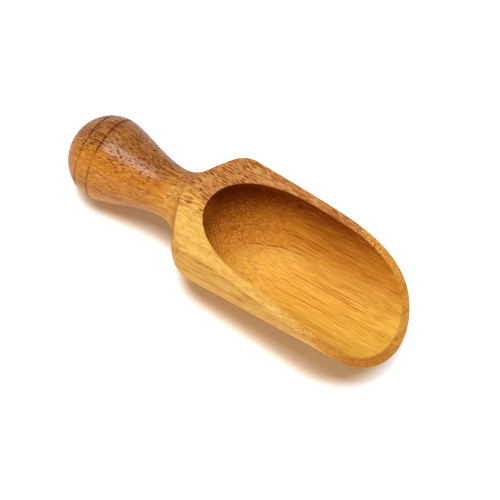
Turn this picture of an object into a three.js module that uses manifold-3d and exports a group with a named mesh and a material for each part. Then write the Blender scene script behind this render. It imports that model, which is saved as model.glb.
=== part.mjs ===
import * as THREE from 'three';
import { mergeVertices } from 'three/addons/utils/BufferGeometryUtils.js';
import Module from 'manifold-3d';

// A small turned wooden salt scoop, in millimetres. The pieces are drawn along the turning
// axis, with x = 0 at the bowl's shoulder corner and +x towards the tip, and the finished
// scoop is then tipped back until it lies on its bowl and its knob.

// Bowl, outside
const bowlRadius = 18;
const bowlTipRadius = 17.7;
const bowlLength = 58;
const shoulderRound = 6;
const neckRadius = 7.1;
const neckToShoulder = 12.7;
const flareRadius = 9.8;

// Bowl, hollow
const wallThickness = 2.6;
const hollowBehindShoulder = 2.1;
const hollowNoseLength = 26;
const noseFullness = 0.626;

// Rim: a long straight slope that bends down steeply towards the tip
const rimHeight = 7.6;
const rimSlope = THREE.MathUtils.degToRad(9.8);
const tipSlope = THREE.MathUtils.degToRad(52);
const rimBendRadius = 40;

// Handle
const knobRadius = 11.7;
const knobDomeLength = 11.1;
const taperLength = 20.5;
const taperFromKnob = 4.6;
const taperIntoNeck = 7;

// Two turned grooves round the knob, measured from its end
const firstGroove = 7.4;
const secondGroove = 11.75;
const grooveWidth = 0.7;
const grooveDepth = 0.35;

// Round tenon on the handle, glued into a blind bore in the bowl's back
const tenonRadius = 3.6;
const boreFloor = 3;
const fitGap = 0.3;

// Fineness of the round forms
const sidesRound = 64;
const curveSteps = 12;
const noseSteps = 16;
const overcut = 2;

// Places along the axis
const seam = -neckToShoulder;
const bowlBack = seam + fitGap / 2;
const handleFront = seam - fitGap / 2;
const knobEquator = handleFront - taperLength;
const knobEnd = knobEquator - knobDomeLength;
const hollowBack = -hollowBehindShoulder;
const hollowRadius = bowlRadius - wallThickness;
const boreEnd = hollowBack - boreFloor;
const tenonEnd = boreEnd - fitGap;
const pastTip = bowlLength + overcut;

const wasm = await Module();
wasm.setup();

function toSolid(geometry) {
  const bare = geometry.clone();
  bare.deleteAttribute('normal');
  bare.deleteAttribute('uv');
  const merged = mergeVertices(bare);
  const corners = merged.index.array;
  const triangles = [];
  for (let i = 0; i < corners.length; i += 3) {
    const [a, b, c] = [corners[i], corners[i + 1], corners[i + 2]];
    if (a !== b && b !== c && c !== a) triangles.push(a, b, c);
  }
  return new wasm.Manifold(new wasm.Mesh({
    numProp: 3,
    vertProperties: new Float32Array(merged.attributes.position.array),
    triVerts: new Uint32Array(triangles),
  }));
}

function toGeometry(solid) {
  const mesh = solid.getMesh();
  const geometry = new THREE.BufferGeometry();
  geometry.setAttribute('position', new THREE.BufferAttribute(mesh.vertProperties, 3));
  geometry.setIndex(new THREE.BufferAttribute(mesh.triVerts, 1));
  geometry.computeVertexNormals();
  return geometry;
}

// Turns an outline of (x, radius) points about the x axis, with a flat side at the very bottom.
function turned(outline) {
  const profile = outline.map((point) => new THREE.Vector2(point.y, point.x));
  const lathe = new THREE.LatheGeometry(profile, sidesRound, Math.PI / sidesRound);
  return toSolid(lathe.rotateZ(-Math.PI / 2));
}

// Where a round of the given radius starts and ends on the two lines that meet at a corner,
// and its centre. The round is limited by the shorter of the two lines.
function cornerRound(before, corner, after, radius) {
  const back = before.clone().sub(corner);
  const ahead = after.clone().sub(corner);
  const halfAngle = back.angleTo(ahead) / 2;
  const longest = Math.min(back.length(), ahead.length());
  const reach = Math.min(radius / Math.tan(halfAngle), longest);
  const start = corner.clone().add(back.setLength(reach));
  const end = corner.clone().add(ahead.setLength(reach));
  const middle = start.clone().add(end).divideScalar(2).sub(corner);
  const centre = corner.clone().add(middle.setLength(reach / Math.cos(halfAngle)));
  return { start, end, centre, radius: reach * Math.tan(halfAngle) };
}

function addRound(path, round) {
  const from = round.start.clone().sub(round.centre).angle();
  const to = round.end.clone().sub(round.centre).angle();
  path.lineTo(round.start.x, round.start.y);
  path.absarc(round.centre.x, round.centre.y, round.radius, from, to, true);
}

// The flare's centre, and the angle and point where it runs straight on to the shoulder corner.
function flareEnding(shoulder) {
  const centre = new THREE.Vector2(bowlBack, neckRadius + flareRadius);
  const towards = shoulder.clone().sub(centre);
  const spread = Math.acos(Math.min(flareRadius / towards.length(), 1));
  const angle = Math.atan2(towards.y, towards.x) - spread;
  const point = new THREE.Vector2(flareRadius, 0).rotateAround(new THREE.Vector2(), angle).add(centre);
  return { centre, angle, point };
}

function bowlOutline() {
  const shoulder = new THREE.Vector2(0, bowlRadius);
  const flare = flareEnding(shoulder);
  const tip = new THREE.Vector2(bowlLength, bowlTipRadius);
  const end = tip.clone().sub(shoulder).multiplyScalar(pastTip / bowlLength).add(shoulder);
  const path = new THREE.Path();
  path.moveTo(bowlBack, 0);
  path.lineTo(bowlBack, neckRadius);
  path.absarc(flare.centre.x, flare.centre.y, flareRadius, -Math.PI / 2, flare.angle, false);
  addRound(path, cornerRound(flare.point, shoulder, end, shoulderRound));
  path.lineTo(end.x, end.y);
  path.lineTo(end.x, 0);
  return path.getPoints(curveSteps / 2);
}

function hollowOutline() {
  const path = new THREE.Path();
  path.moveTo(hollowBack, 0);
  path.bezierCurveTo(
    hollowBack, hollowRadius * noseFullness,
    hollowBack + hollowNoseLength * (1 - noseFullness), hollowRadius,
    hollowBack + hollowNoseLength, hollowRadius,
  );
  path.lineTo(pastTip, hollowRadius);
  path.lineTo(pastTip, 0);
  return path.getPoints(noseSteps);
}

function boreOutline() {
  const radius = tenonRadius + fitGap;
  return [
    new THREE.Vector2(bowlBack - overcut, 0),
    new THREE.Vector2(bowlBack - overcut, radius),
    new THREE.Vector2(boreEnd, radius),
    new THREE.Vector2(boreEnd, 0),
  ];
}

// Everything above the rim, seen from the side and carried across the bowl.
function aboveRim() {
  const top = bowlRadius + overcut;
  const behind = seam - overcut;
  const rimBack = new THREE.Vector2(behind, rimHeight - behind * Math.tan(rimSlope));
  const tip = new THREE.Vector2(bowlLength, -bowlTipRadius);
  const rise = tip.y - rimHeight + bowlLength * Math.tan(tipSlope);
  const cornerX = rise / (Math.tan(tipSlope) - Math.tan(rimSlope));
  const corner = new THREE.Vector2(cornerX, rimHeight - cornerX * Math.tan(rimSlope));
  const shape = new THREE.Shape();
  shape.moveTo(rimBack.x, rimBack.y);
  addRound(shape, cornerRound(rimBack, corner, tip, rimBendRadius));
  shape.lineTo(tip.x + overcut, tip.y - overcut * Math.tan(tipSlope));
  shape.lineTo(pastTip + overcut, tip.y - overcut * Math.tan(tipSlope));
  shape.lineTo(pastTip + overcut, top);
  shape.lineTo(rimBack.x, top);
  shape.closePath();
  const across = 2 * top;
  const block = new THREE.ExtrudeGeometry(shape, {
    depth: across, bevelEnabled: false, curveSegments: curveSteps,
  });
  return toSolid(block.rotateX(Math.PI / 2).translate(0, across / 2, 0));
}

function radiusAt(outline, x) {
  const next = outline.findIndex((point) => point.x > x);
  const [a, b] = [outline[next - 1], outline[next]];
  return THREE.MathUtils.mapLinear(x, a.x, b.x, a.y, b.y);
}

// The same outline with a V-shaped groove at the given distance from the knob's end.
function withGroove(outline, fromKnobEnd) {
  const middle = knobEnd + fromKnobEnd;
  const [left, right] = [middle - grooveWidth / 2, middle + grooveWidth / 2];
  return [
    ...outline.filter((point) => point.x < left),
    new THREE.Vector2(left, radiusAt(outline, left)),
    new THREE.Vector2(middle, radiusAt(outline, middle) - grooveDepth),
    new THREE.Vector2(right, radiusAt(outline, right)),
    ...outline.filter((point) => point.x > right),
  ];
}

function handleOutline() {
  const path = new THREE.Path();
  path.moveTo(knobEnd, 0);
  path.absellipse(knobEquator, 0, knobDomeLength, knobRadius, Math.PI, Math.PI / 2, true);
  path.bezierCurveTo(
    knobEquator + taperFromKnob, knobRadius,
    handleFront - taperIntoNeck, neckRadius,
    handleFront, neckRadius,
  );
  path.lineTo(handleFront, tenonRadius);
  path.lineTo(tenonEnd, tenonRadius);
  path.lineTo(tenonEnd, 0);
  return withGroove(withGroove(path.getPoints(curveSteps), firstGroove), secondGroove);
}

function makeBowl() {
  const solid = turned(bowlOutline())
    .subtract(turned(hollowOutline()))
    .subtract(turned(boreOutline()))
    .subtract(aboveRim());
  const paleWood = new THREE.MeshStandardMaterial({ color: 0xd2953f, roughness: 0.55, metalness: 0 });
  const mesh = new THREE.Mesh(toGeometry(solid), paleWood);
  mesh.name = 'bowl';
  return mesh;
}

function makeHandle() {
  const brownWood = new THREE.MeshStandardMaterial({ color: 0xa96a30, roughness: 0.5, metalness: 0 });
  const mesh = new THREE.Mesh(toGeometry(turned(handleOutline())), brownWood);
  mesh.name = 'handle';
  return mesh;
}

// The angle of the line that touches the knob and the bowl from below.
function restAngle() {
  const slopeFrom = (knob) => (point) => (point.y - knob.y) / (point.x - knob.x);
  const knobPoints = handleOutline().filter((point) => point.x < handleFront);
  const bowlPoints = bowlOutline();
  const steepest = knobPoints.map((knob) => Math.max(...bowlPoints.map(slopeFrom(knob))));
  const flatSide = Math.cos(Math.PI / sidesRound);
  return Math.atan(Math.min(...steepest) * flatSide);
}

const scoop = new THREE.Group();
scoop.add(makeBowl(), makeHandle());
scoop.rotation.y = -restAngle();

// The origin is on the table, under the middle of the scoop.
const box = new THREE.Box3().setFromObject(scoop, true);
scoop.position.set(-(box.min.x + box.max.x) / 2, 0, -box.min.z);

const saltScoop = new THREE.Group();
saltScoop.add(scoop);
export default saltScoop;
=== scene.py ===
import math

import bpy
import numpy as np
from mathutils import Matrix, Vector


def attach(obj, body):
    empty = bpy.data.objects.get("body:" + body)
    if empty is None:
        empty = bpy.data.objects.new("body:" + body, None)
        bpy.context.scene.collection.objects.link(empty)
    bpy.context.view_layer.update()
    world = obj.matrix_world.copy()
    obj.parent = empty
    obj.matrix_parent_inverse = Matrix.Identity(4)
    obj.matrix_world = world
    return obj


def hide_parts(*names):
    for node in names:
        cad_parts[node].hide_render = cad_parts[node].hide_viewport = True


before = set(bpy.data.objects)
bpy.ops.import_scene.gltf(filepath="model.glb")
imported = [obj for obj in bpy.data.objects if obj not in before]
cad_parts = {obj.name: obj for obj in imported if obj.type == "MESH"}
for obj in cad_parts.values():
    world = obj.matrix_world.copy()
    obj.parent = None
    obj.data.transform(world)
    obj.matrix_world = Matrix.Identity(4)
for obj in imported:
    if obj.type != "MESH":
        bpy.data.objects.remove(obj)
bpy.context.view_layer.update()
print("frame loaded")

# The turning axis as the scoop lies on the table: x along the axis from the shoulder, in millimetres
lay = {
    "lean": math.radians(9.65498),   # tip up
    "along": -8.0673,
    "up": 17.2581,
}
mm = 0.001
sharpFrom = math.radians(50)   # edges steeper than this stay sharp
axisToTable = (
    Matrix.Translation((lay["along"] * mm, 0, lay["up"] * mm))
    @ Matrix.Rotation(-lay["lean"], 4, "Y")
    @ Matrix.Scale(mm, 4)
)


# A socket that takes sums, and makes the nodes that follow it
class Wire:
    def __init__(self, tree, socket=None):
        self.tree = tree
        self.socket = socket

    def node(self, kind, settings=None, sockets=None, out=0):
        made = self.tree.nodes.new(kind)
        for name, value in (settings or {}).items():
            setattr(made, name, value)
        for key, value in (sockets or {}).items():
            if isinstance(value, Wire):
                self.tree.links.new(value.socket, made.inputs[key])
            else:
                made.inputs[key].default_value = value
        return Wire(self.tree, made.outputs[out] if made.outputs else None)

    def output(self, name):   # another output of the same node
        return Wire(self.tree, self.socket.node.outputs[name])

    def math(self, operation, first, second=0.0):
        return self.node("ShaderNodeMath", {"operation": operation}, {0: first, 1: second})

    def __add__(self, other):
        return self.math("ADD", self, other)

    def __radd__(self, other):
        return self.math("ADD", other, self)

    def __sub__(self, other):
        return self.math("SUBTRACT", self, other)

    def __rsub__(self, other):
        return self.math("SUBTRACT", other, self)

    def __mul__(self, other):
        return self.math("MULTIPLY", self, other)

    def __rmul__(self, other):
        return self.math("MULTIPLY", other, self)

    def __truediv__(self, other):
        return self.math("DIVIDE", self, other)

    def __rtruediv__(self, other):
        return self.math("DIVIDE", other, self)

    def __abs__(self):
        return self.math("ABSOLUTE", self)

    def __neg__(self):
        return self.math("MULTIPLY", self, -1.0)


def smooth(value, low, high):   # 0 below low, 1 above high
    return value.node(
        "ShaderNodeMapRange", {"interpolation_type": "SMOOTHSTEP"},
        {"Value": value, "From Min": low, "From Max": high},
    )


def blend(share, first, second, way="MIX"):   # mixes two colours
    return share.node(
        "ShaderNodeMix", {"data_type": "RGBA", "blend_type": way},
        {0: share, 6: first, 7: second}, 2,   # the colour sockets
    )


def scaled(vector, factors):
    return vector.node("ShaderNodeVectorMath", {"operation": "MULTIPLY"}, {0: vector, 1: factors})


def emptyTree(owner):   # node tree of a material or of the world, with nothing in it yet
    owner.use_nodes = True
    owner.node_tree.nodes.clear()
    return Wire(owner.node_tree)


def addObject(name, data):
    made = bpy.data.objects.new(name, data)
    bpy.context.scene.collection.objects.link(made)
    return made


def paint(red, green, blue):   # a colour as seen on screen, 0 to 255
    def linear(level):
        share = level / 255
        return share / 12.92 if share <= 0.04045 else ((share + 0.055) / 1.055) ** 2.4
    return (linear(red), linear(green), linear(blue), 1.0)


# Wood: one block, brown heart above and on the far side, pale below and on the near side
wood = {
    "pale": paint(254, 202, 102),
    "amber": paint(225, 152, 50),
    "brown": paint(219, 157, 91),
    "dark": paint(150, 90, 40),        # the brown of the handle
    "cream": paint(252, 204, 120),     # light fibres
    "speck": paint(240, 174, 80),      # light dots in end grain, partly painted glints
    "pore": paint(96, 38, 12),
    "line": paint(174, 94, 30),        # pores in pale wood
    "shade": paint(200, 142, 80),      # what dark fibres take off the colour
    "paintedShade": paint(196, 158, 72),      # painted shade high in the hollow, under the rim
    "soaked": paint(210, 184, 116),    # what end grain takes off in the hollow
    "hollowShade": paint(248, 241, 205),      # painted shade all over the hollow, darker and warmer
    "ember": paint(252, 236, 206),     # in the end grain of the tip
    "handled": paint(242, 234, 172),   # what hands have done to the handle

    # sizes along and across the fibres, mm
    "patchSize": (33.0, 6.7),
    "swaySize": (50.0, 16.7),
    "weaveSize": (4.5, 2.9),
    "streakSize": (26.0, 1.1),
    "hairSize": (6.5, 0.30),
    "poreCell": (10.0, 0.46),
    "lineCell": (40.0, 0.7),
    "swayFar": 1.6,              # how far the fibres wander
    "weaveFar": 0.45,            # and how far they weave in a short stretch

    # the tree: rings, and how deep inside them each tone starts and is full, mm
    "treeMiddle": (0.0, 10.0, 16.0),
    "ringPitch": 1.9,
    "heartRing": 18.0,           # brown and open-pored inside this ring
    "heartPatchy": 2.5,          # how far patches and layers move its edge
    "heartLayered": 1.5,
    "heartEdge": (-1.0, 4.0),
    "openEdge": (-3.4, 0.8),
    "darkEdge": (0.5, 5.0),
    "neckThin": 2.2,             # the heart is this much thinner at the neck
    "amberRing": 28.5,           # amber inside this ring, on the far side
    "amberPatchy": 1.5,
    "amberEdge": (-0.3, 0.5),
    "edgeLine": (0.05, 0.22),    # a thin dark line along it

    # the hollow and its rim, mm
    "hollowRadius": 15.5,
    "rimHeight": 7.6,
    "rimFall": 0.1727,           # down for each millimetre along
    "wallEdge": (-0.1, 0.1),
    "rimEdge": (0.2, 0.8),       # under the rim
    "rimFace": (0.2, 0.5),       # off the rim
    "noseEdge": (-2.6, -1.0),

    # where each tone starts and is full, mm along the axis
    "softFrom": (16.0, 30.0),    # the amber's edge fades towards the tip
    "poreFade": (2.0, 14.0),
    "tipFrom": (10.0, 30.0),
    "neckBack": (-26.0, -14.0),

    # the same, but backwards along the axis, to the handle
    "neckFront": (-5.0, 4.0),
    "amberFrom": (5.0, 16.0),
    "gripFrom": (8.0, 15.0),
    "darkFrom": (9.0, 18.0),

    # across it, to the far side, and up
    "farFrom": (-3.0, 6.0),
    "drunkFrom": (-6.0, 8.0),
    "edgeFrom": (2.0, 5.0),
    "upperFrom": (-10.0, 1.0),
    "browFrom": (-3.0, 5.0),

    # how square the fibres end at the surface, 0 to 1
    "drunkEdge": (0.3, 0.95),
    "soakedEdge": (0.10, 0.60),
    "tipEdge": (0.3, 0.8),
    "coatEdge": (0.3, 0.75),

    # levels in the patterns
    "layerEdge": (-0.12, 0.22),
    "streakEdge": (0.45, 0.68),
    "hairEdge": (0.42, 0.62),
    "creamEdge": (0.30, 0.45),
    "lineEdge": (0.144, 0.312),
    "lineKept": (0.1, 0.4),
    "poreEdge": (0.255, 0.374),
    "poreKept": (-0.05, 0.05),
    "haloEdge": (0.306, 0.51),
    "burntEdge": (0.18, 0.46),   # mm from the middle of a groove
    "burntGaps": (0.75, 1.1),

    # how much of each; a pair is how much without and with the mask that it goes by
    "amberShare": 0.85,
    "amberHollow": (0.35, 1.0),
    "softBy": (1.0, 5.0),
    "heartShare": 0.9,
    "darkShare": 0.4,
    "layerShare": (0.35, 0.20),
    "streakShare": (0.26, 0.56),
    "streakHollow": (1.0, 0.4),
    "hairShare": (0.60, 0.85),
    "hairHollow": (1.0, 0.65),
    "lineShare": (0.25, 0.85),
    "creamShare": (0.40, 0.15),
    "speckShare": 0.5,
    "speckUpper": (1.0, 0.2),
    "drunkShare": (0.6, 0.0),
    "browShare": 0.4,
    "softWarm": 0.5,
    "gripShade": 0.12,
    "edgeShare": 0.8,
    "rimPlain": 0.4,             # taken off all marks on the pale part of the rim
    "poreOdds": (0.17, 0.81),
    "poreLayered": 0.5,
    "poreGrip": 0.15,
    "poreShare": (0.60, 0.95),
    "poreSoaked": (1.0, 0.2),
    "poreFront": (1.0, 0.5),
    "burntShare": (0.36, 0.90),
    "burntBroken": (0.25, 1.0),

    # finish: oiled, with the handle polished by hands
    "rough": 0.48,
    "roughGrip": -0.12,
    "roughHair": 0.22,
    "roughPore": 0.25,
    "shine": 0.08,
    "coat": 0.34,
    "coatRough": 0.26,
    "coatPore": (1.0, 0.2),
    "coatHair": (1.3, 0.7),
    "coatEnd": (1.0, 0.25),
    "reliefHair": 0.35,
    "reliefStreak": 0.25,
    "reliefPore": -0.8,
    "bump": 0.4,
    "bumpDepth": 0.0002,
}


def woodMaterial(name, look, burntAt=()):
    material = bpy.data.materials.new(name)
    new = emptyTree(material)

    def vector(operation, first, second=(0.0, 0.0, 0.0), out=0):
        return new.node("ShaderNodeVectorMath", {"operation": operation}, {0: first, 1: second}, out)

    def offAxis(place):   # how far from the line that the fibres follow
        return vector("LENGTH", scaled(place, (0.0, 1.0, 1.0)), out="Value")

    def stretched(place, size):
        length, width = look[size]
        return scaled(place, (1 / length, 1 / width, 1 / width))

    def noise(place, size, detail=2.0, rough=0.5, out="Fac"):
        return new.node("ShaderNodeTexNoise", None, {
            "Vector": stretched(place, size), "Scale": 1.0, "Detail": detail, "Roughness": rough,
        }, out)

    def cells(place, size):   # distance from the middle of each cell, and its colour
        return new.node("ShaderNodeTexVoronoi", {"feature": "F1"}, {
            "Vector": stretched(place, size), "Scale": 1.0, "Randomness": 1.0,
        })

    def chance(found):   # a random number for each cell
        return new.node("ShaderNodeSeparateColor", None, {0: found.output("Color")})

    def ramp(value, pair):   # 0 to 1 from one end of a pair to the other
        return smooth(value, *look[pair])

    def share(mask, pair):   # the first of a pair where the mask is 0, the second where it is 1
        first, second = look[pair]
        return first + mask * (second - first)

    # places on the scoop, in millimetres along the axis, across it and up from it
    place = new.node("ShaderNodeTexCoord", out="Object")
    facing = place.output("Normal")
    turn = Matrix.Rotation(lay["lean"], 3, "Y")
    start = turn @ Vector((lay["along"], 0, lay["up"]))
    axis = turn.transposed() @ Vector((1, 0, 0))
    straight = new.node("ShaderNodeMapping", None, {
        "Vector": place, "Location": -start, "Rotation": (0, lay["lean"], 0),
        "Scale": (1 / mm, 1 / mm, 1 / mm),
    })
    along = new.node("ShaderNodeSeparateXYZ", None, {0: straight})
    height = along.output("Z")
    underRim = look["rimHeight"] - along * look["rimFall"] - height
    hollow = ramp(look["hollowRadius"] - offAxis(straight), "wallEdge") * ramp(underRim, "rimEdge")
    hollow = hollow * ramp(along, "noseEdge")
    grip = ramp(-along, "gripFrom")
    patch = noise(straight, "patchSize") - 0.5
    thread = cells(straight, "lineCell")
    lines = (1 - ramp(thread, "lineEdge")) * ramp(chance(thread), "lineKept")

    # the fibres wander a little
    fibre = straight
    for size, far in (("swaySize", look["swayFar"]), ("weaveSize", look["weaveFar"])):
        bent = vector("SUBTRACT", noise(straight, size, out="Color"), (0.5, 0.5, 0.5))
        fibre = vector("ADD", fibre, scaled(bent, (0.0, far, far)))
    across = new.node("ShaderNodeSeparateXYZ", None, {0: fibre}, "Y")

    # growth rings round the middle of the tree, brown heart, amber inside the bowl
    ring = offAxis(vector("SUBTRACT", fibre, look["treeMiddle"]))
    layers = new.node("ShaderNodeTexNoise", {"noise_dimensions": "1D"}, {
        "W": ring / look["ringPitch"], "Scale": 1.0, "Detail": 3.0, "Roughness": 0.65,
    }) - 0.5
    depth = look["heartRing"] - ring + patch * look["heartPatchy"] + layers * look["heartLayered"]
    openPored = ramp(depth, "openEdge")
    neck = ramp(-along, "neckFront") * ramp(along, "neckBack")
    heart = ramp(depth - neck * look["neckThin"], "heartEdge")
    dark = ramp(depth, "darkEdge") * ramp(-along, "darkFrom")
    border = look["amberRing"] - ring + patch * look["amberPatchy"]
    soft = ramp(along, "softFrom")
    inside = ramp(border / share(soft, "softBy"), "amberEdge")
    farSide = inside * ramp(across, "farFrom") * share(hollow, "amberHollow")
    amber = new.math("MAXIMUM", farSide, ramp(-along, "amberFrom"))

    # broad streaks, fine fibres, and open pores with a pale halo, long along the grain
    streak = noise(fibre, "streakSize", rough=0.6)
    hair = noise(fibre, "hairSize", detail=3.0, rough=0.65)
    vessel = cells(fibre, "poreCell")
    odds = share(openPored, "poreOdds") + layers * look["poreLayered"] + grip * look["poreGrip"]
    pores = (1 - ramp(vessel, "poreEdge")) * ramp(odds - chance(vessel), "poreKept")
    halo = 1 - ramp(vessel, "haloEdge")

    # end grain drinks more oil, and in the hollow its pores show as light dots, which are partly painted
    # glints
    endGrain = abs(vector("DOT_PRODUCT", facing, axis, "Value"))
    drunk = ramp(endGrain, "drunkEdge") * share(ramp(across, "drunkFrom"), "drunkShare") * (1 - grip)
    soaked = ramp(endGrain, "soakedEdge") * hollow
    # painted shade high in the hollow, darkest just under the rim
    paintedShadeHigh = ramp(height, "upperFrom") * hollow
    paintedShadeBrow = ramp(height, "browFrom") * hollow
    dotted = soaked * share(paintedShadeHigh, "speckUpper")
    edge = (1 - ramp(abs(border), "edgeLine")) * ramp(across, "edgeFrom") * hollow * (1 - soft)

    # the pale part of the rim is plain
    marked = 1 - look["rimPlain"] * (1 - ramp(abs(underRim), "rimFace")) * (1 - openPored)
    streaked = ramp(streak, "streakEdge") * share(heart, "streakShare") * share(hollow, "streakHollow")
    haired = ramp(hair, "hairEdge") * share(openPored, "hairShare") * share(hollow, "hairHollow")

    colour = blend(amber * look["amberShare"], look["pale"], look["amber"])
    colour = blend(heart * look["heartShare"], colour, look["brown"])
    colour = blend(dark * look["darkShare"], colour, look["dark"])
    takenOff = (
        (ramp(layers, "layerEdge") * share(hollow, "layerShare") * marked, "shade"),
        (streaked * marked, "shade"),
        (drunk, "shade"),
        (ramp(endGrain, "tipEdge") * ramp(along, "tipFrom") * (1 - hollow), "ember"),
        # painted shade high in the hollow, under the rim
        (paintedShadeHigh, "paintedShade"),
        (paintedShadeBrow * look["browShare"], "paintedShade"),
        (soaked, "soaked"),
        # painted shade: the whole hollow darker and warmer, and more so towards the tip
        (hollow, "hollowShade"),
        (soft * (1 - inside) * hollow * look["softWarm"], "hollowShade"),
        (grip, "handled"),
        (grip * (1 - heart) * look["gripShade"], "shade"),
        (edge * look["edgeShare"], "shade"),
        (haired * marked, "shade"),
        (lines * share(hollow, "lineShare") * (1 - soaked), "shade"),
    )
    for part, taken in takenOff:
        colour = blend(part, colour, look[taken], "MULTIPLY")
    colour = blend((1 - ramp(hair, "creamEdge")) * share(heart, "creamShare"), colour, look["cream"])
    # light dots in the hollow's end grain, partly painted glints
    colour = blend(halo * dotted * look["speckShare"], colour, look["speck"])
    strength = share(openPored, "poreShare") * share(soaked, "poreSoaked")
    strength = strength * share(ramp(along, "poreFade"), "poreFront")
    colour = blend(pores * strength, colour, blend(openPored, look["line"], look["pore"]))

    # worn smooth on the handle, but for the burnt lines in its grooves
    rough = look["rough"] + grip * look["roughGrip"] + hair * look["roughHair"] + pores * look["roughPore"]
    coat = grip * look["coat"] * share(pores, "coatPore") * share(hair, "coatHair")
    coat = coat * share(ramp(endGrain, "coatEdge"), "coatEnd")
    for spot in burntAt:
        line = 1 - ramp(abs(along - spot), "burntEdge")
        coat = coat * (1 - line)
        line = line * share(heart, "burntShare") * share(ramp(hair + streak, "burntGaps"), "burntBroken")
        colour = blend(line, colour, look["pore"])

    relief = hair * look["reliefHair"] + streak * look["reliefStreak"] + pores * look["reliefPore"]
    bump = new.node("ShaderNodeBump", None, {
        "Strength": look["bump"], "Distance": look["bumpDepth"], "Height": relief,
    })
    shader = new.node("ShaderNodeBsdfPrincipled", None, {
        "Base Color": colour, "Roughness": rough, "Normal": bump, "Specular IOR Level": look["shine"],
        "Coat Weight": coat, "Coat Roughness": look["coatRough"],
    })
    new.node("ShaderNodeOutputMaterial", None, {"Surface": shader})
    return material


# Bowl: a turned cup, hollowed, with the top cut away along a bent rim
bowl = {
    "radius": 18.0,
    "tipRadius": 17.7,
    "length": 58.0,
    "shoulderRound": 6.0,
    "neckRadius": 7.1,
    "seam": -12.7,
    "flareRadius": 9.8,
    "wall": 2.6,
    "hollowBack": -2.1,
    "noseLength": 26.0,
    "noseFullness": 0.626,
    "rimHeight": 7.6,
    "rimSlope": 9.8,
    "tipSlope": 52.0,
    "rimBend": 40.0,
    "outerBreak": 0.16,      # sanded edges
    "innerBreak": 0.24,
    "outerWaver": 0.2,       # how unevenly they are sanded
    "innerWaver": 0.45,
    "outerSeed": 3,
    "innerSeed": 8,
    "wavesRound": (5, 9, 14, 23, 37, 52),
    "halfColumns": 210,
    "outerRows": 76,
    "rimRows": 6,
    "breakRows": 5,
    "hollowRows": 64,
    "flareSteps": 60,
    "shoulderSteps": 40,
    "noseSteps": 240,
    "bendSteps": 60,
    "rimSteps": 4000,
    "rimSearch": 20000,
    "rimStart": -20.0,       # the outlines run on past both ends
    "overrun": 3.0,
    "outerOverrun": 0.05,    # share of the length
}


def unit(vectors):
    return vectors / np.linalg.norm(vectors, axis=-1, keepdims=True)


def levelAt(line, x):   # second value of a line of points, where the first is x
    return np.interp(x, line[:, 0], line[:, 1])


def lengths(line):   # distance along a line of points
    return np.concatenate([[0], np.cumsum(np.linalg.norm(np.diff(line, axis=0), axis=1))])


def rounded(before, corner, after, radius, steps):
    back, ahead = unit(before - corner), unit(after - corner)
    half = math.acos(float(np.clip(back @ ahead, -1, 1))) / 2
    reach = radius / math.tan(half)
    centre = corner + unit(back + ahead) * (radius / math.sin(half))
    first, last = corner + back * reach - centre, corner + ahead * reach - centre
    swing = math.pi - 2 * half
    shares = np.linspace(0, 1, steps)[:, None]
    return centre + (np.sin((1 - shares) * swing) * first + np.sin(shares * swing) * last) / math.sin(swing)


def bowlSide(b):   # outer outline, (along, radius)
    shoulder, tip = np.array([0, b["radius"]]), np.array([b["length"], b["tipRadius"]])
    centre = np.array([b["seam"], b["neckRadius"] + b["flareRadius"]])
    towards = shoulder - centre
    spread = math.acos(b["flareRadius"] / np.linalg.norm(towards))
    turn = np.linspace(-math.pi / 2, math.atan2(towards[1], towards[0]) - spread, b["flareSteps"])
    flare = centre + b["flareRadius"] * np.column_stack([np.cos(turn), np.sin(turn)])
    shoulderCurve = rounded(flare[-1], shoulder, tip, b["shoulderRound"], b["shoulderSteps"])
    return np.vstack([flare, shoulderCurve, tip, tip + (tip - shoulder) * b["outerOverrun"]])


def hollowSide(b):   # inner outline from the bottom of the nose
    share = np.linspace(0, 1, b["noseSteps"])[:, None]
    radius, full = b["radius"] - b["wall"], b["noseFullness"]
    points = np.array([
        [b["hollowBack"], 0],
        [b["hollowBack"], radius * full],
        [b["hollowBack"] + b["noseLength"] * (1 - full), radius],
        [b["hollowBack"] + b["noseLength"], radius],
    ])
    nose = (points[0] * (1 - share) ** 3 + points[1] * 3 * share * (1 - share) ** 2
            + points[2] * 3 * share ** 2 * (1 - share) + points[3] * share ** 3)
    return np.vstack([nose, [b["length"] + b["overrun"], radius]])


def rimSide(b):   # the cut seen from the side, (along, height)
    slope, steep = math.tan(math.radians(b["rimSlope"])), math.tan(math.radians(b["tipSlope"]))
    tip = np.array([b["length"], -b["tipRadius"]])
    cornerAt = (tip[1] - b["rimHeight"] + b["length"] * steep) / (steep - slope)
    corner = np.array([cornerAt, b["rimHeight"] - cornerAt * slope])
    back = np.array([b["rimStart"], b["rimHeight"] - b["rimStart"] * slope])
    bend = rounded(back, corner, tip, b["rimBend"], b["bendSteps"])
    return np.vstack([back, bend, tip, tip + [b["overrun"], -b["overrun"] * steep]])


def rimLoop(side, rim, b):   # where a turned outline meets the cut, evenly spaced, tip first
    steps = np.linspace(side[0, 0], side[-1, 0], b["rimSearch"])
    inside = steps[np.abs(levelAt(rim, steps)) < levelAt(side, steps)]
    back, tip = inside[0], inside[-1]
    x = tip + (back - tip) * (1 - np.cos(np.linspace(0, math.pi, b["rimSteps"]))) / 2
    z = levelAt(rim, x)
    y = np.sqrt(np.maximum(levelAt(side, x) ** 2 - z ** 2, 0))
    y[0] = y[-1] = 0
    half = np.column_stack([x, y, z])
    run = lengths(half)
    spots = np.linspace(0, run[-1], b["halfColumns"] + 1)
    half = np.column_stack([np.interp(spots, run, half[:, k]) for k in range(3)])
    far = half[1:-1][::-1] * [1, -1, 1]
    return np.vstack([half, far])


def ripple(count, seed, wavesRound):   # slow irregularity round a closed edge, about -1 to 1
    dice = np.random.default_rng(seed)
    turn = np.linspace(0, 2 * math.pi, count, endpoint=False)
    waves = [dice.normal() * np.sin(k * turn + dice.uniform(0, 6.28)) / math.sqrt(k) for k in wavesRound]
    total = np.sum(waves, axis=0)
    return total / np.abs(total).max()


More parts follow.
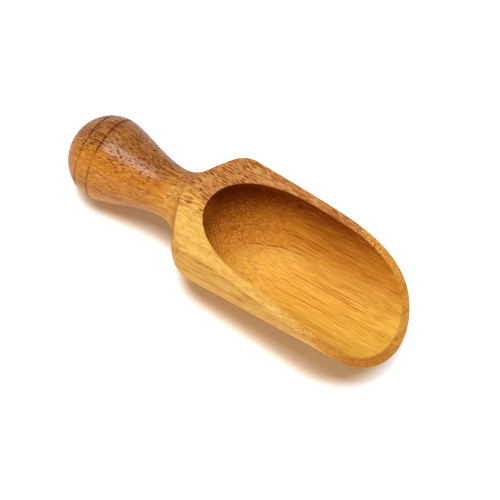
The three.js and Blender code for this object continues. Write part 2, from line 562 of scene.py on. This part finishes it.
def edgeBreak(loop, surfaceOut, rimUp, setBack, steps):   # rounds one edge of the rim
    tangent = unit(np.roll(loop, -1, 0) - np.roll(loop, 1, 0))
    down = unit(np.cross(surfaceOut, tangent))
    down *= -np.sign(np.sum(down * rimUp, axis=1, keepdims=True))
    inward = unit(np.cross(rimUp, tangent))
    inward *= -np.sign(np.sum(inward * surfaceOut, axis=1, keepdims=True))
    onSurface, onRim = loop + down * setBack[:, None], loop + inward * setBack[:, None]
    shares = np.linspace(0, 1, steps + 1)
    return [onSurface * (1 - t) ** 2 + loop * 2 * t * (1 - t) + onRim * t ** 2 for t in shares]


def turnedRows(edge, side, count, even):   # rows from an edge back along the turned surface
    run = lengths(side)
    at = np.interp(edge[:, 0], side[:, 0], run)
    angle = np.unwrap(np.arctan2(edge[:, 1], -edge[:, 2]))
    target = angle[0] + np.linspace(0, 2 * math.pi, len(edge), endpoint=False) if even else angle
    rows = []
    for share in np.linspace(0, 1, count + 1)[1:]:
        here = at * (1 - share)
        x, r = np.interp(here, run, side[:, 0]), np.interp(here, run, side[:, 1])
        swing = angle + (target - angle) * share ** 2
        rows.append(np.column_stack([x, r * np.sin(swing), -r * np.cos(swing)]))
    return rows


def outward(points, side):   # outward direction of a turned surface at points near it
    slope = np.gradient(side[:, 1], side[:, 0])
    steep = np.interp(points[:, 0], side[:, 0], slope)
    radius = np.linalg.norm(points[:, 1:], axis=1)
    return unit(np.column_stack([-steep, points[:, 1] / radius, points[:, 2] / radius]))


def upward(points, rim):   # upward direction of the rim at points on it
    probe = 0.05   # mm
    slope = (levelAt(rim, points[:, 0] + probe) - levelAt(rim, points[:, 0] - probe)) / (2 * probe)
    return unit(np.column_stack([-slope, np.zeros(len(points)), np.ones(len(points))]))


def makeBowl(b, material):
    outer, inner, rim = bowlSide(b), hollowSide(b), rimSide(b)
    outerLoop, innerLoop = rimLoop(outer, rim, b), rimLoop(inner, rim, b)
    count = len(outerLoop)
    outerBack = b["outerBreak"] * (1 + b["outerWaver"] * ripple(count, b["outerSeed"], b["wavesRound"]))
    innerBack = b["innerBreak"] * (1 + b["innerWaver"] * ripple(count, b["innerSeed"], b["wavesRound"]))
    outerEdge = edgeBreak(outerLoop, outward(outerLoop, outer), upward(outerLoop, rim),
                          outerBack, b["breakRows"])
    innerEdge = edgeBreak(innerLoop, -outward(innerLoop, inner), upward(innerLoop, rim),
                          innerBack, b["breakRows"])

    # rows of points from the neck over the rim to the bottom of the hollow
    rows = turnedRows(outerEdge[0], outer, b["outerRows"], True)[::-1] + outerEdge
    for share in np.linspace(0, 1, b["rimRows"] + 2)[1:-1]:
        flat = outerEdge[-1] * (1 - share) + innerEdge[-1] * share
        flat[:, 2] = levelAt(rim, flat[:, 0])
        rows.append(flat)
    rows += innerEdge[::-1] + turnedRows(innerEdge[0], inner, b["hollowRows"], False)[:-1]

    points = np.vstack(rows + [[[b["seam"], 0, 0]], [[b["hollowBack"], 0, 0]]])
    neckEnd, pole, last = len(points) - 2, len(points) - 1, (len(rows) - 1) * count
    faces = []
    for j in range(count):
        k = (j + 1) % count
        faces.append((neckEnd, k, j))
        for row in range(len(rows) - 1):
            base = row * count
            faces.append((base + j, base + k, base + count + k, base + count + j))
        faces.append((last + j, last + k, pole))
    mesh = bpy.data.meshes.new("bowl")
    mesh.from_pydata(points.tolist(), [], faces)
    mesh.transform(axisToTable)
    mesh.shade_smooth()
    mesh.set_sharp_from_angle(angle=sharpFrom)
    mesh.materials.append(material)
    return addObject("turnedBowl", mesh)


scoopBowl = makeBowl(bowl, woodMaterial("bowlWood", wood))
print("bowl made,", len(scoopBowl.data.polygons), "faces")


# Handle: knob, taper and two cut lines, turned by a rule along the axis
handle = {
    "Knob End": -44.45,
    "Dome Length": 11.1,
    "Knob Radius": 11.7,
    "Neck At": -12.7,
    "Neck Radius": 7.1,
    "Leave Knob": 4.6,
    "Reach Neck": 7.0,
    "First Groove": 7.4,     # from the knob's end
    "Second Groove": 11.75,
    "Groove Width": 0.28,
    "Groove Depth": 0.28,
    "Steps": 360,
    "Sides": 168,
}
grooves = ("First Groove", "Second Groove")


def handleTree(h, material):
    tree = bpy.data.node_groups.new("turnedHandle", "GeometryNodeTree")
    for name, value in h.items():
        kind = "NodeSocketInt" if isinstance(value, int) else "NodeSocketFloat"
        tree.interface.new_socket(name, in_out="INPUT", socket_type=kind)
    tree.interface.new_socket("Handle", in_out="OUTPUT", socket_type="NodeSocketGeometry")
    new = Wire(tree)
    size = new.node("NodeGroupInput").output

    line = new.node("GeometryNodeMeshLine", {"mode": "OFFSET"}, {"Count": size("Steps")})
    line = new.node("GeometryNodeMeshToCurve", None, {"Mesh": line})
    share = new.node("GeometryNodeInputIndex") / (size("Steps") - 1.0)

    # first half of the line: the dome, a quarter of an ellipse
    firstSwing = 0.004   # the dome starts with a tiny ring, which the cap closes
    equator = size("Knob End") + size("Dome Length")
    swing = new.math("MAXIMUM", new.math("MINIMUM", share * math.pi, math.pi / 2), firstSwing)
    domeAt = equator - size("Dome Length") * new.math("COSINE", swing)
    domeRadius = size("Knob Radius") * new.math("SINE", swing)

    # second half: the taper, an S curve into the neck
    t = new.math("MAXIMUM", share * 2.0 - 1.0, 0.0)
    u = 1.0 - t
    early, middle, late = u * u * u, 3.0 * t * u * u, 3.0 * t * t * u
    end = t * t * t
    taperAt = (early * equator + middle * (equator + size("Leave Knob"))
               + late * (size("Neck At") - size("Reach Neck")) + end * size("Neck At"))
    taperRadius = (early + middle) * size("Knob Radius") + (late + end) * size("Neck Radius")
    inTaper = new.math("GREATER_THAN", t, 0.0)
    at = domeAt + inTaper * (taperAt - domeAt)
    radius = domeRadius + inTaper * (taperRadius - domeRadius)

    for groove in grooves:
        away = (at - size("Knob End") - size(groove)) / size("Groove Width")
        radius = radius - size("Groove Depth") * new.math("EXPONENT", -(away * away))

    spot = new.node("ShaderNodeCombineXYZ", None, {0: at})
    line = new.node("GeometryNodeSetPosition", None, {"Geometry": line, "Position": spot})
    ring = new.node("GeometryNodeCurvePrimitiveCircle", None, {"Resolution": size("Sides"), "Radius": 1.0})
    skin = new.node("GeometryNodeCurveToMesh", None, {
        "Curve": line, "Profile Curve": ring, "Scale": radius, "Fill Caps": True,
    })
    skin = new.node("GeometryNodeSetShadeSmooth", None, {"Geometry": skin, "Shade Smooth": True})
    place = new.node("GeometryNodeTransform", None, {
        "Geometry": skin, "Translation": axisToTable.to_translation(),
        "Rotation": (0, -lay["lean"], 0), "Scale": (mm, mm, mm),
    })
    solid = new.node("GeometryNodeRealizeInstances", None, {"Geometry": place})
    solid = new.node("GeometryNodeSetMaterial", None, {"Geometry": solid, "Material": material})
    new.node("NodeGroupOutput", None, {"Handle": solid})
    return tree


def makeHandle(h, material):
    tree = handleTree(h, material)
    maker = addObject("handleMaker", bpy.data.meshes.new("handleMaker"))
    modifier = maker.modifiers.new("turned", "NODES")
    modifier.node_group = tree
    for item in tree.interface.items_tree:
        if item.in_out == "INPUT":
            modifier[item.identifier] = h[item.name]
    graph = bpy.context.evaluated_depsgraph_get()
    mesh = bpy.data.meshes.new_from_object(maker.evaluated_get(graph))
    maker.modifiers.remove(modifier)
    bpy.data.objects.remove(maker)
    mesh.name = "handle"
    mesh.set_sharp_from_angle(angle=sharpFrom)
    return addObject("turnedHandle", mesh)


burntAt = [handle["Knob End"] + handle[groove] for groove in grooves]
scoopHandle = makeHandle(handle, woodMaterial("handleWood", wood, burntAt))
print("handle made,", len(scoopHandle.data.polygons), "faces")


# Table and light
studio = {
    "table": (0.92, 0.92, 0.92, 1),
    "tableHalf": 3.0,
    "tableDrop": 0.00003,          # so that it doesn't cut into the scoop
    "under": (0.15, 0.08, 0.03),   # what the camera sees it give off under the scoop: painted warm light in its shadow
    "paintedShadowGlow": (0.68, 0.76, 0.80),    # and away from it, which paints out the shadow's soft outer part
    "shadowFootprint": ((-38, -16, 10.6, 7.5), (2, 33, 16.7, 16.7)),   # the painted shadow's outline, handle and bowl: ends, half widths, mm
    "shadowFade": ((-4.0, 2.4), (-3.8, 2.8), (-3.4, 2.8)),   # the painted shadow's edge, red, green, blue: from the footprint's outline, mm
    "fill": (1.0, 0.95, 0.88),
    "fillStrength": 0.12,
    "lampsAim": (0, 0, 0.012),
    "lamps": {   # where from, how far, width, height, power, colour
        "softbox": ((-0.08, -0.09, 1.0), 0.9, 0.5, 0.5, 7.4, (1.0, 1.0, 1.0)),
        "lowStrip": ((0.10, -0.95, 0.10), 0.9, 1.4, 0.16, 2.4, (1.0, 0.95, 0.82)),
    },
}


def seenWhite(new):   # for rays that see the background, not for those that light the scoop
    path = new.node("ShaderNodeLightPath", out="Is Camera Ray")
    return path + path.output("Is Glossy Ray") + path.output("Is Transmission Ray")


def makeTable(s):
    material = bpy.data.materials.new("paleTable")
    new = emptyTree(material)
    place = new.node("ShaderNodeSeparateXYZ", None, {0: new.node("ShaderNodeTexCoord", out="Object")})
    x, y = place / mm, place.output("Y") / mm
    away = 1000.0   # mm from the scoop's shape on the table, and at first far off
    for start, end, startHalf, endHalf in s["shadowFootprint"]:
        nearest = new.math("MAXIMUM", new.math("MINIMUM", x, end), start)
        half = startHalf + (nearest - start) * ((endHalf - startHalf) / (end - start))
        past = x - nearest
        away = new.math("MINIMUM", new.math("SQRT", past * past + y * y) - half, away)
    # painted shadow: camera-only glow, warm under the scoop and white past its footprint
    levels = zip(s["shadowFade"], s["under"], s["paintedShadowGlow"])
    shares = [low + smooth(away, *shadowFade) * (high - low) for shadowFade, low, high in levels]
    glowing = new.node("ShaderNodeCombineColor", None, dict(enumerate(shares)))
    plain = new.node("ShaderNodeBsdfDiffuse", None, {"Color": s["table"]})
    paintedShadowGlow = new.node("ShaderNodeEmission", None, {"Color": glowing})
    bright = new.node("ShaderNodeAddShader", None, {0: plain, 1: paintedShadowGlow})
    both = new.node("ShaderNodeMixShader", None, {0: seenWhite(new), 1: plain, 2: bright})
    new.node("ShaderNodeOutputMaterial", None, {"Surface": both})
    side, level = s["tableHalf"], -s["tableDrop"]
    corners = [(-side, -side, level), (side, -side, level), (side, side, level), (-side, side, level)]
    mesh = bpy.data.meshes.new("table")
    mesh.from_pydata(corners, [], [(0, 1, 2, 3)])
    mesh.materials.append(material)
    return addObject("table", mesh)


def makeLight(s):
    world = bpy.data.worlds.new("studio")
    new = emptyTree(world)
    light = new.node("ShaderNodeBackground", None, {"Color": (*s["fill"], 1), "Strength": s["fillStrength"]})
    white = new.node("ShaderNodeBackground", None, {"Color": (1, 1, 1, 1), "Strength": 1.0})
    both = new.node("ShaderNodeMixShader", None, {0: seenWhite(new), 1: light, 2: white})
    new.node("ShaderNodeOutputWorld", None, {"Surface": both})
    bpy.context.scene.world = world

    for name, (way, away, width, height, power, colour) in s["lamps"].items():
        lamp = bpy.data.lights.new(name, "AREA")
        lamp.shape = "ELLIPSE"
        lamp.size, lamp.size_y = width, height
        lamp.energy = power
        lamp.color = colour
        way = Vector(way).normalized()
        made = addObject(name, lamp)
        made.location = Vector(s["lampsAim"]) + way * away
        made.rotation_mode = "QUATERNION"
        made.rotation_quaternion = (-way).to_track_quat("-Z", "Y")


# Camera, as found from the photo
camera = {
    "azimuth": 28.241,
    "elevation": 59.018,
    "roll": 8.832,
    "distance": 1.05532,
    "aim": (0.006269, -0.002671, 0.017258),
    "focal": 4039.34,   # in pixels of the photo
    "photoWidth": 500,
    "sensor": 36,
}


def makeCamera(c):
    az, el, roll = (math.radians(c[name]) for name in ("azimuth", "elevation", "roll"))
    back = Vector((math.sin(az) * math.cos(el), -math.cos(az) * math.cos(el), math.sin(el)))
    right = Vector((math.cos(az), math.sin(az), 0))
    up = back.cross(right)
    turnedRight = right * math.cos(roll) + up * math.sin(roll)
    turnedUp = up * math.cos(roll) - right * math.sin(roll)
    data = bpy.data.cameras.new("camera")
    data.sensor_width = c["sensor"]
    data.lens = c["focal"] / c["photoWidth"] * c["sensor"]
    made = addObject("camera", data)
    facing = Matrix((turnedRight, turnedUp, back)).transposed().to_4x4()
    made.matrix_world = Matrix.Translation(Vector(c["aim"]) + back * c["distance"]) @ facing
    bpy.context.scene.camera = made


table = makeTable(studio)
makeLight(studio)
makeCamera(camera)
bpy.context.scene.view_settings.view_transform = "Standard"
print("table, light and camera set")

for piece, node, slot in ((scoopBowl, "bowl", "bowl_wood"), (scoopHandle, "handle", "handle_wood")):
    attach(piece, "root")
    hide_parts(node)

print("scoop finished")
